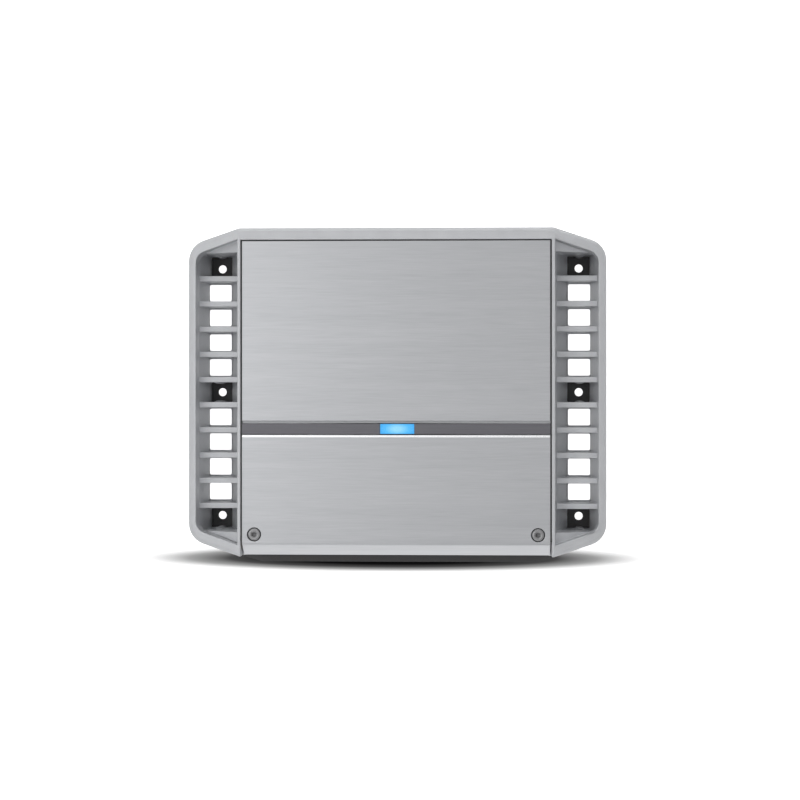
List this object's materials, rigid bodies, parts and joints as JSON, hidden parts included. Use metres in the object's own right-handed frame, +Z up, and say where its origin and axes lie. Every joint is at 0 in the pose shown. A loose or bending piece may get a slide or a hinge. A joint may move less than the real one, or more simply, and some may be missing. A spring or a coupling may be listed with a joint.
{
  "type": "car amplifier",
  "caption": "Compact car amplifier: cast heatsink with open ribbed wings, brushed top plate, lit strip and a screwed front cover over knobs and wire terminals.",
  "frame": {"origin": "centre of the mounting-hole pattern, on the underside of the bottom plate", "axes": "+Z up through the top plate, -Y towards the connection end, +X to the right when looking along +Y from the connection end"},
  "size_m": [0.2684, 0.2173, 0.0583],
  "materials": {
    "cast_aluminium": "die-cast, fine blasted silver coat",
    "brushed_aluminium": "brushed along X, clear anodised",
    "dark_strip": "satin dark grey",
    "status_light": "translucent blue light window",
    "black_steel": "black powder coat",
    "black_plastic": "moulded, fine texture",
    "screw_steel": "stainless",
    "transistor_epoxy": "moulded epoxy",
    "black_screw": "black oxide",
    "circuit_board": "green solder mask",
    "gold": "gold plated",
    "nickel": "nickel plated",
    "capacitor_sleeve": "shrink sleeve",
    "copper_winding": "enamelled wire",
    "fuse_plastic": "clear-tinted moulded"
  },
  "bodies": {
    "chassis": {"accent_strip": "dark_strip", "bass_potentiometer": "nickel", "board_link": "black_plastic", "bottom_plate": "black_steel", "bottom_screw_1": "black_screw", "bottom_screw_2": "black_screw", "bottom_screw_3": "black_screw", "bottom_screw_4": "black_screw", "bottom_screw_5": "black_screw", "bottom_screw_6": "black_screw", "control_board": "circuit_board", "control_deck": "black_steel", "crossover_potentiometer": "nickel", "crossover_switch": "nickel", "fuse_holder": "black_plastic", "gain_potentiometer": "nickel", "heatsink_chassis": "cast_aluminium", "highlevel_socket": "black_plastic", "led_board": "circuit_board", "main_board": "circuit_board", "output_choke": "copper_winding", "power_terminal_block": "black_plastic", "power_transformer": "copper_winding", "power_transistor_1": "transistor_epoxy", "power_transistor_2": "transistor_epoxy", "power_transistor_3": "transistor_epoxy", "power_transistor_4": "transistor_epoxy", "rca_housing": "black_plastic", "rca_jack_1": "gold", "rca_jack_2": "gold", "rca_jack_3": "gold", "rca_jack_4": "gold", "speaker_terminal_block": "black_plastic", "status_lens": "status_light", "supply_capacitor_1": "capacitor_sleeve", "supply_capacitor_2": "capacitor_sleeve", "supply_capacitor_3": "capacitor_sleeve", "supply_capacitor_4": "capacitor_sleeve", "terminal_panel": "black_plastic", "top_plate": "brushed_aluminium", "transistor_clamp_left": "nickel", "transistor_clamp_right": "nickel"},
    "front_cover": {"front_cover": "brushed_aluminium"},
    "cover_screw_left": {"cover_screw_left": "screw_steel"},
    "cover_screw_right": {"cover_screw_right": "screw_steel"},
    "gain_knob": {"gain_knob": "black_plastic"},
    "crossover_knob": {"crossover_knob": "black_plastic"},
    "bass_knob": {"bass_knob": "black_plastic"},
    "switch_slider": {"switch_slider": "black_plastic"},
    "power_set_screw_1": {"power_set_screw_1": "nickel"},
    "power_set_screw_2": {"power_set_screw_2": "nickel"},
    "power_set_screw_3": {"power_set_screw_3": "nickel"},
    "speaker_set_screw_1": {"speaker_set_screw_1": "nickel"},
    "speaker_set_screw_2": {"speaker_set_screw_2": "nickel"},
    "speaker_set_screw_3": {"speaker_set_screw_3": "nickel"},
    "speaker_set_screw_4": {"speaker_set_screw_4": "nickel"},
    "fuse_1": {"fuse_1": "fuse_plastic"},
    "fuse_2": {"fuse_2": "fuse_plastic"}
  },
  "joints": [
    {"name": "cover_lift", "type": "slide", "parent": "chassis", "child": "front_cover", "axis": [0, 0, 1], "range_m": [0, 0.05]},
    {"name": "cover_screw_left_out", "type": "slide", "parent": "front_cover", "child": "cover_screw_left", "axis": [0, 0, 1], "range_m": [0, 0.012]},
    {"name": "cover_screw_right_out", "type": "slide", "parent": "front_cover", "child": "cover_screw_right", "axis": [0, 0, 1], "range_m": [0, 0.012]},
    {"name": "gain_turn", "type": "hinge", "parent": "chassis", "child": "gain_knob", "pos_m": [-0.058, -0.05, 0.048], "axis": [0, 0, 1], "range_deg": [-140, 140]},
    {"name": "crossover_turn", "type": "hinge", "parent": "chassis", "child": "crossover_knob", "pos_m": [-0.026, -0.05, 0.048], "axis": [0, 0, 1], "range_deg": [-140, 140]},
    {"name": "bass_turn", "type": "hinge", "parent": "chassis", "child": "bass_knob", "pos_m": [0.006, -0.05, 0.048], "axis": [0, 0, 1], "range_deg": [-140, 140]},
    {"name": "switch_slide", "type": "slide", "parent": "chassis", "child": "switch_slider", "axis": [1, 0, 0], "range_m": [0, 0.004]},
    {"name": "power_set_screw_1_out", "type": "slide", "parent": "chassis", "child": "power_set_screw_1", "axis": [0, 0, 1], "range_m": [0, 0.004]},
    {"name": "power_set_screw_2_out", "type": "slide", "parent": "chassis", "child": "power_set_screw_2", "axis": [0, 0, 1], "range_m": [0, 0.004]},
    {"name": "power_set_screw_3_out", "type": "slide", "parent": "chassis", "child": "power_set_screw_3", "axis": [0, 0, 1], "range_m": [0, 0.004]},
    {"name": "speaker_set_screw_1_out", "type": "slide", "parent": "chassis", "child": "speaker_set_screw_1", "axis": [0, 0, 1], "range_m": [0, 0.004]},
    {"name": "speaker_set_screw_2_out", "type": "slide", "parent": "chassis", "child": "speaker_set_screw_2", "axis": [0, 0, 1], "range_m": [0, 0.004]},
    {"name": "speaker_set_screw_3_out", "type": "slide", "parent": "chassis", "child": "speaker_set_screw_3", "axis": [0, 0, 1], "range_m": [0, 0.004]},
    {"name": "speaker_set_screw_4_out", "type": "slide", "parent": "chassis", "child": "speaker_set_screw_4", "axis": [0, 0, 1], "range_m": [0, 0.004]},
    {"name": "fuse_1_pull", "type": "slide", "parent": "chassis", "child": "fuse_1", "axis": [0, -1, 0], "range_m": [0, 0.02]},
    {"name": "fuse_2_pull", "type": "slide", "parent": "chassis", "child": "fuse_2", "axis": [0, -1, 0], "range_m": [0, 0.02]}
  ]
}
